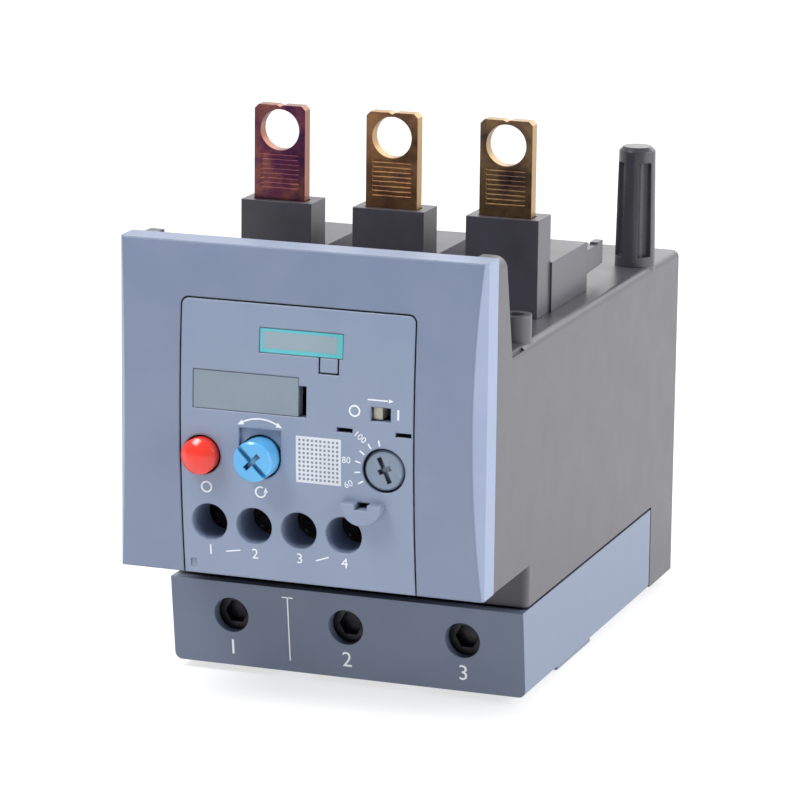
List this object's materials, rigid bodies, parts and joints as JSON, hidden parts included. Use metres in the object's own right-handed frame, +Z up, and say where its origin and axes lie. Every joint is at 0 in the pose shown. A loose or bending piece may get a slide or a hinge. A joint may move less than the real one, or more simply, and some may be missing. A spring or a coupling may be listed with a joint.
{
  "type": "thermal overload relay",
  "caption": "Bimetal overload relay that plugs onto a contactor by copper tabs, with box clamps below, and a crowned front with stop button, reset knob, current dial and test slider.",
  "frame": {"origin": "centre of the overall footprint, at the height of the feet", "axes": "X to the right seen from the front, Y from the front to the back, Z up"},
  "size_m": [0.07, 0.129, 0.1053],
  "materials": {
    "bimetal": "rolled bimetal",
    "block_plastic": "blue-grey moulding",
    "blue": "light blue moulding",
    "brass": "brass",
    "carrier_plastic": "near-black insulating moulding",
    "copper": "bare copper",
    "cover_plastic": "grey moulded cover",
    "dial_grey": "grey moulding",
    "heater_wire": "resistance wire",
    "housing_plastic": "dark grey fine-grained moulding",
    "inner_plastic": "dark inner moulding",
    "label_grey": "grey marking plate",
    "marker_teal": "teal marking plate",
    "panel_plastic": "light grey moulded panel",
    "peg_plastic": "dark glossy moulding",
    "red": "red moulding",
    "slide_plastic": "cream moulding",
    "spring_steel": "spring steel",
    "zinc_steel": "zinc-plated steel"
  },
  "bodies": {
    "frame": {"base_housing": "housing_plastic", "front_bezel": "cover_plastic", "front_panel": "panel_plastic", "label_plate": "label_grey", "blank_plate": "marker_teal", "terminal_block": "block_plastic", "mechanism_chassis": "inner_plastic", "guide_peg": "peg_plastic", "coupling_hook": "carrier_plastic", "snap_spring": "spring_steel", "lever_pin": "spring_steel", "pole_partitions": "inner_plastic", "stop_spring": "spring_steel", "reset_spring": "spring_steel", "tab_carrier_1": "carrier_plastic", "line_tab_1": "copper", "load_bar_1": "copper", "heater_winding_1": "heater_wire", "tab_carrier_2": "carrier_plastic", "line_tab_2": "copper", "load_bar_2": "copper", "heater_winding_2": "heater_wire", "tab_carrier_3": "carrier_plastic", "line_tab_3": "copper", "load_bar_3": "copper", "heater_winding_3": "heater_wire", "aux_terminal_1": "brass", "aux_terminal_2": "brass", "aux_terminal_3": "brass", "aux_terminal_4": "brass"},
    "stop_button": {"stop_button": "red"},
    "reset_plunger": {"reset_plunger": "blue"},
    "reset_knob": {"reset_knob": "blue"},
    "setting_dial": {"setting_dial": "dial_grey"},
    "adjusting_slide": {"adjusting_slide": "slide_plastic"},
    "test_slider": {"test_slider": "slide_plastic"},
    "trip_slide": {"trip_slide": "slide_plastic"},
    "differential_slide": {"differential_slide": "slide_plastic"},
    "trip_lever": {"trip_lever": "slide_plastic"},
    "closed_bridge": {"closed_bridge": "brass"},
    "open_bridge": {"open_bridge": "brass"},
    "bimetal_strip_1": {"bimetal_strip_1": "bimetal"},
    "clamp_screw_1": {"clamp_screw_1": "zinc_steel"},
    "clamp_cage_1": {"clamp_cage_1": "zinc_steel"},
    "bimetal_strip_2": {"bimetal_strip_2": "bimetal"},
    "clamp_screw_2": {"clamp_screw_2": "zinc_steel"},
    "clamp_cage_2": {"clamp_cage_2": "zinc_steel"},
    "bimetal_strip_3": {"bimetal_strip_3": "bimetal"},
    "clamp_screw_3": {"clamp_screw_3": "zinc_steel"},
    "clamp_cage_3": {"clamp_cage_3": "zinc_steel"},
    "aux_washer_1": {"aux_washer_1": "zinc_steel"},
    "aux_screw_1": {"aux_screw_1": "zinc_steel"},
    "aux_washer_2": {"aux_washer_2": "zinc_steel"},
    "aux_screw_2": {"aux_screw_2": "zinc_steel"},
    "aux_washer_3": {"aux_washer_3": "zinc_steel"},
    "aux_screw_3": {"aux_screw_3": "zinc_steel"},
    "aux_washer_4": {"aux_washer_4": "zinc_steel"},
    "aux_screw_4": {"aux_screw_4": "zinc_steel"}
  },
  "joints": [
    {"name": "stop_press", "type": "slide", "parent": "frame", "child": "stop_button", "axis": [0, 1, 0], "range_m": [0, 0.002], "stiffness_N_per_m": 400, "springref_m": -0.002, "deforming": ["stop_spring"]},
    {"name": "reset_press", "type": "slide", "parent": "frame", "child": "reset_plunger", "axis": [0, 1, 0], "range_m": [0, 0.0025], "stiffness_N_per_m": 400, "springref_m": -0.002, "deforming": ["reset_spring"]},
    {"name": "reset_turn", "type": "hinge", "parent": "reset_plunger", "child": "reset_knob", "pos_m": [-0.0069, -0.06, 0.0495], "axis": [0, 1, 0], "range_deg": [0, 90]},
    {"name": "dial_turn", "type": "hinge", "parent": "frame", "child": "setting_dial", "pos_m": [0.0167, -0.058, 0.0492], "axis": [0, 1, 0], "range_deg": [-135.01, 135.01]},
    {"name": "adjusting_shift", "type": "slide", "parent": "frame", "child": "adjusting_slide", "axis": [1, 0, 0], "range_m": [-0.001, 0.001]},
    {"name": "trip_shift", "type": "slide", "parent": "frame", "child": "trip_slide", "axis": [1, 0, 0], "range_m": [0, 0.0015]},
    {"name": "differential_shift", "type": "slide", "parent": "frame", "child": "differential_slide", "axis": [1, 0, 0], "range_m": [0, 0.0012]},
    {"name": "strip_bend_1", "type": "hinge", "parent": "frame", "child": "bimetal_strip_1", "pos_m": [-0.0225, 0.012, 0.0241], "axis": [0, 1, 0], "range_deg": [0, 3]},
    {"name": "strip_bend_2", "type": "hinge", "parent": "frame", "child": "bimetal_strip_2", "pos_m": [0, 0.012, 0.0241], "axis": [0, 1, 0], "range_deg": [0, 3]},
    {"name": "strip_bend_3", "type": "hinge", "parent": "frame", "child": "bimetal_strip_3", "pos_m": [0.0225, 0.012, 0.0241], "axis": [0, 1, 0], "range_deg": [0, 3]},
    {"name": "lever_swing", "type": "hinge", "parent": "frame", "child": "trip_lever", "pos_m": [0.0239, -0.038, 0.062], "axis": [0, -1, 0], "range_deg": [0, 14]},
    {"name": "test_shift", "type": "slide", "parent": "frame", "child": "test_slider", "axis": [1, 0, 0], "range_m": [0, 0.0015]},
    {"name": "closed_contact_shift", "type": "slide", "parent": "frame", "child": "closed_bridge", "axis": [0, 1, 0], "range_m": [0, 0.0012]},
    {"name": "open_contact_shift", "type": "slide", "parent": "frame", "child": "open_bridge", "axis": [0, -1, 0], "range_m": [0, 0.0012]},
    {"name": "clamp_cage_shift_1", "type": "slide", "parent": "frame", "child": "clamp_cage_1", "axis": [0, -1, 0], "range_m": [0, 0.006]},
    {"name": "clamp_screw_turn_1", "type": "hinge", "parent": "frame", "child": "clamp_screw_1", "pos_m": [-0.023, -0.025, 0.0115], "axis": [0, 1, 0], "range_deg": [0, 1728.5]},
    {"name": "clamp_cage_shift_2", "type": "slide", "parent": "frame", "child": "clamp_cage_2", "axis": [0, -1, 0], "range_m": [0, 0.006]},
    {"name": "clamp_screw_turn_2", "type": "hinge", "parent": "frame", "child": "clamp_screw_2", "pos_m": [0, -0.025, 0.0115], "axis": [0, 1, 0], "range_deg": [0, 1728.5]},
    {"name": "clamp_cage_shift_3", "type": "slide", "parent": "frame", "child": "clamp_cage_3", "axis": [0, -1, 0], "range_m": [0, 0.006]},
    {"name": "clamp_screw_turn_3", "type": "hinge", "parent": "frame", "child": "clamp_screw_3", "pos_m": [0.023, -0.025, 0.0115], "axis": [0, 1, 0], "range_deg": [0, 1728.5]},
    {"name": "aux_washer_shift_1", "type": "slide", "parent": "frame", "child": "aux_washer_1", "axis": [0, -1, 0], "range_m": [0, 0.002]},
    {"name": "aux_screw_turn_1", "type": "hinge", "parent": "aux_washer_1", "child": "aux_screw_1", "pos_m": [-0.017, -0.048, 0.0364], "axis": [0, -1, 0], "range_deg": [0, 1200.5]},
    {"name": "aux_washer_shift_2", "type": "slide", "parent": "frame", "child": "aux_washer_2", "axis": [0, -1, 0], "range_m": [0, 0.002]},
    {"name": "aux_screw_turn_2", "type": "hinge", "parent": "aux_washer_2", "child": "aux_screw_2", "pos_m": [-0.00836, -0.048, 0.0364], "axis": [0, -1, 0], "range_deg": [0, 1200.5]},
    {"name": "aux_washer_shift_3", "type": "slide", "parent": "frame", "child": "aux_washer_3", "axis": [0, -1, 0], "range_m": [0, 0.002]},
    {"name": "aux_screw_turn_3", "type": "hinge", "parent": "aux_washer_3", "child": "aux_screw_3", "pos_m": [0.00028, -0.048, 0.0364], "axis": [0, -1, 0], "range_deg": [0, 1200.5]},
    {"name": "aux_washer_shift_4", "type": "slide", "parent": "frame", "child": "aux_washer_4", "axis": [0, -1, 0], "range_m": [0, 0.002]},
    {"name": "aux_screw_turn_4", "type": "hinge", "parent": "aux_washer_4", "child": "aux_screw_4", "pos_m": [0.00892, -0.048, 0.0364], "axis": [0, -1, 0], "range_deg": [0, 1200.5]}
  ],
  "couplings": [
    {"joint": "dial_turn", "follows": "adjusting_shift", "rad_per_m": 2356.2},
    {"joint": "differential_shift", "follows": "trip_shift", "ratio": 0.8},
    {"joint": "strip_bend_1", "follows": "trip_shift", "rad_per_m": 31.746},
    {"joint": "strip_bend_2", "follows": "trip_shift", "rad_per_m": 31.746},
    {"joint": "strip_bend_3", "follows": "trip_shift", "rad_per_m": 31.746},
    {"joint": "lever_swing", "follows": "trip_shift", "rad_per_m": 156.25},
    {"joint": "test_shift", "follows": "trip_shift", "ratio": 1},
    {"joint": "closed_contact_shift", "follows": "trip_shift", "ratio": 0.8},
    {"joint": "open_contact_shift", "follows": "trip_shift", "ratio": 0.8},
    {"joint": "clamp_screw_turn_1", "follows": "clamp_cage_shift_1", "rad_per_m": 5026.5},
    {"joint": "clamp_screw_turn_2", "follows": "clamp_cage_shift_2", "rad_per_m": 5026.5},
    {"joint": "clamp_screw_turn_3", "follows": "clamp_cage_shift_3", "rad_per_m": 5026.5},
    {"joint": "aux_screw_turn_1", "follows": "aux_washer_shift_1", "rad_per_m": 10472},
    {"joint": "aux_screw_turn_2", "follows": "aux_washer_shift_2", "rad_per_m": 10472},
    {"joint": "aux_screw_turn_3", "follows": "aux_washer_shift_3", "rad_per_m": 10472},
    {"joint": "aux_screw_turn_4", "follows": "aux_washer_shift_4", "rad_per_m": 10472}
  ]
}
